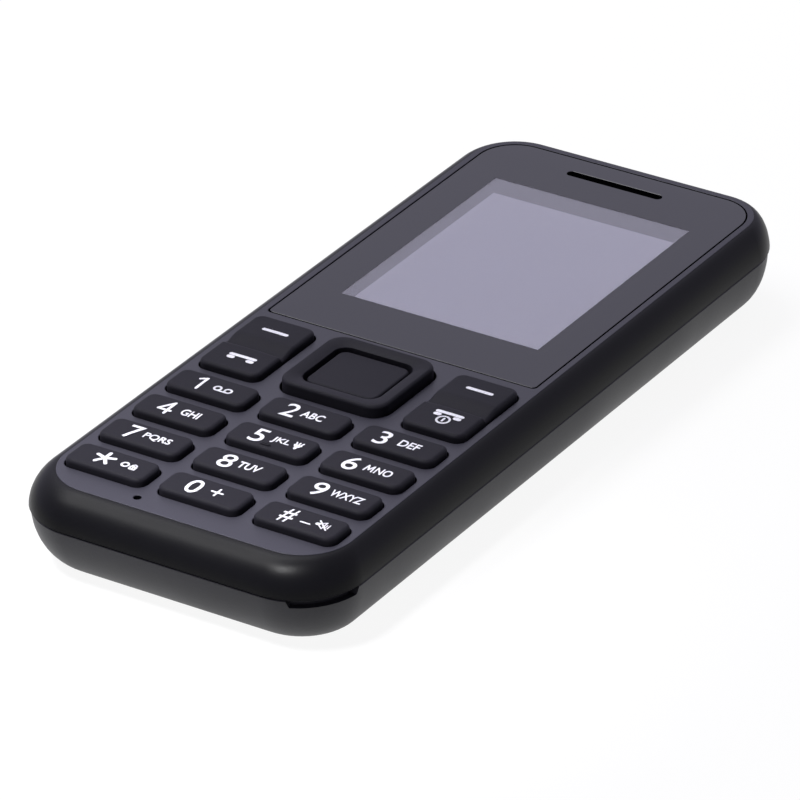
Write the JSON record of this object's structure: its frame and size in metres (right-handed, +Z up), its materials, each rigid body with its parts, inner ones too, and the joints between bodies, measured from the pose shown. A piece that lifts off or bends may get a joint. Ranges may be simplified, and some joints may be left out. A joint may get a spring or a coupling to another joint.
{
  "type": "bar mobile phone",
  "caption": "Keypad bar phone with a colour display, soft-key rockers, a four-way ring, a number pad and a removable back cover over its battery.",
  "frame": {"origin": "middle of the footprint, on the plane the phone's flat back lies on", "axes": "+X to the phone's right seen from the front, +Y towards the earpiece end along the length, +Z up out of the display"},
  "size_m": [0.045, 0.108, 0.0129],
  "materials": {
    "housing_plastic": "fine matte texture, blue-grey",
    "cover_plastic": "fine matte texture, blue-grey",
    "key_plastic": "soft matte, near black",
    "lens_acrylic": "clear acrylic with a printed dark border",
    "display_glass": "unlit display",
    "display_frame": "white moulded",
    "board_laminate": "green solder mask",
    "flex_film": "amber film",
    "shield_steel": "tinned sheet",
    "socket_steel": "bright plated",
    "dome_film": "clear film over metal domes",
    "silicone": "soft matte",
    "foam": "black foam tape",
    "chassis_plastic": "black moulded",
    "component_plastic": "black moulded",
    "jack_plastic": "black moulded",
    "battery_can": "wrapped in printed film",
    "mesh_cloth": "woven dust mesh",
    "lamp_resin": "clear resin",
    "camera_glass": "dark glass"
  },
  "bodies": {
    "phone": {"antenna_carrier": "component_plastic", "audio_jack": "jack_plastic", "battery_connector": "component_plastic", "camera_module": "component_plastic", "display_flex": "flex_film", "display_lens": "lens_acrylic", "dome_sheet": "dome_film", "earpiece_mesh": "mesh_cloth", "earpiece_receiver": "component_plastic", "front_housing": "housing_plastic", "keypad_mat": "silicone", "lcd_frame": "display_frame", "lcd_panel": "display_glass", "lens_tape": "foam", "loudspeaker": "component_plastic", "main_board": "board_laminate", "micro_usb_socket": "socket_steel", "microphone": "socket_steel", "microphone_boot": "silicone", "mid_frame": "chassis_plastic", "power_shield_can": "shield_steel", "radio_shield_can": "shield_steel", "screen_gasket": "foam", "sim_holder": "component_plastic", "torch_led": "lamp_resin", "vibration_motor": "socket_steel"},
    "key_1": {"key_1": "key_plastic"},
    "key_2": {"key_2": "key_plastic"},
    "key_3": {"key_3": "key_plastic"},
    "key_4": {"key_4": "key_plastic"},
    "key_5": {"key_5": "key_plastic"},
    "key_6": {"key_6": "key_plastic"},
    "key_7": {"key_7": "key_plastic"},
    "key_8": {"key_8": "key_plastic"},
    "key_9": {"key_9": "key_plastic"},
    "key_star": {"key_star": "key_plastic"},
    "key_0": {"key_0": "key_plastic"},
    "key_hash": {"key_hash": "key_plastic"},
    "left_rocker": {"left_rocker_key": "key_plastic"},
    "right_rocker": {"right_rocker_key": "key_plastic"},
    "nav_pad": {"nav_pad": "silicone"},
    "nav_ring": {"nav_ring": "key_plastic"},
    "nav_select": {"nav_select_key": "key_plastic"},
    "battery": {"battery": "battery_can"},
    "back_cover": {"back_cover": "cover_plastic", "camera_window": "camera_glass"}
  },
  "joints": [
    {"name": "key_star_press", "type": "slide", "parent": "phone", "child": "key_star", "axis": [0, 0, -1], "range_m": [0, 0.0003], "stiffness_N_per_m": 2000},
    {"name": "key_0_press", "type": "slide", "parent": "phone", "child": "key_0", "axis": [0, 0, -1], "range_m": [0, 0.0003], "stiffness_N_per_m": 2000},
    {"name": "key_hash_press", "type": "slide", "parent": "phone", "child": "key_hash", "axis": [0, 0, -1], "range_m": [0, 0.0003], "stiffness_N_per_m": 2000},
    {"name": "key_7_press", "type": "slide", "parent": "phone", "child": "key_7", "axis": [0, 0, -1], "range_m": [0, 0.0003], "stiffness_N_per_m": 2000},
    {"name": "key_8_press", "type": "slide", "parent": "phone", "child": "key_8", "axis": [0, 0, -1], "range_m": [0, 0.0003], "stiffness_N_per_m": 2000},
    {"name": "key_9_press", "type": "slide", "parent": "phone", "child": "key_9", "axis": [0, 0, -1], "range_m": [0, 0.0003], "stiffness_N_per_m": 2000},
    {"name": "key_4_press", "type": "slide", "parent": "phone", "child": "key_4", "axis": [0, 0, -1], "range_m": [0, 0.0003], "stiffness_N_per_m": 2000},
    {"name": "key_5_press", "type": "slide", "parent": "phone", "child": "key_5", "axis": [0, 0, -1], "range_m": [0, 0.0003], "stiffness_N_per_m": 2000},
    {"name": "key_6_press", "type": "slide", "parent": "phone", "child": "key_6", "axis": [0, 0, -1], "range_m": [0, 0.0003], "stiffness_N_per_m": 2000},
    {"name": "key_1_press", "type": "slide", "parent": "phone", "child": "key_1", "axis": [0, 0, -1], "range_m": [0, 0.0003], "stiffness_N_per_m": 2000},
    {"name": "key_2_press", "type": "slide", "parent": "phone", "child": "key_2", "axis": [0, 0, -1], "range_m": [0, 0.0003], "stiffness_N_per_m": 2000},
    {"name": "key_3_press", "type": "slide", "parent": "phone", "child": "key_3", "axis": [0, 0, -1], "range_m": [0, 0.0003], "stiffness_N_per_m": 2000},
    {"name": "nav_select_press", "type": "slide", "parent": "phone", "child": "nav_select", "axis": [0, 0, -1], "range_m": [0, 0.0003], "stiffness_N_per_m": 2000},
    {"name": "left_rocker_tilt", "type": "hinge", "parent": "phone", "child": "left_rocker", "pos_m": [-0.0144, -0.01171, 0.0095], "axis": [1, 0, 0], "range_deg": [-2, 2], "stiffness_Nm_per_rad": 0.3},
    {"name": "right_rocker_tilt", "type": "hinge", "parent": "phone", "child": "right_rocker", "pos_m": [0.0144, -0.01171, 0.0095], "axis": [1, 0, 0], "range_deg": [-2, 2], "stiffness_Nm_per_rad": 0.3},
    {"name": "nav_tilt_up_down", "type": "hinge", "parent": "phone", "child": "nav_pad", "pos_m": [0, -0.01171, 0.0092], "axis": [1, 0, 0], "range_deg": [-2, 2], "stiffness_Nm_per_rad": 0.3},
    {"name": "nav_tilt_left_right", "type": "hinge", "parent": "nav_pad", "child": "nav_ring", "pos_m": [0, -0.01171, 0.0092], "axis": [0, 1, 0], "range_deg": [-2, 2], "stiffness_Nm_per_rad": 0.3},
    {"name": "back_cover_lift", "type": "slide", "parent": "phone", "child": "back_cover", "axis": [0, 0, -1], "range_m": [0, 0.025]},
    {"name": "battery_lift", "type": "slide", "parent": "phone", "child": "battery", "axis": [0, 0, -1], "range_m": [0, 0.0125]}
  ],
  "couplings": [
    {"joint": "battery_lift", "follows": "back_cover_lift", "ratio": 0.5}
  ]
}
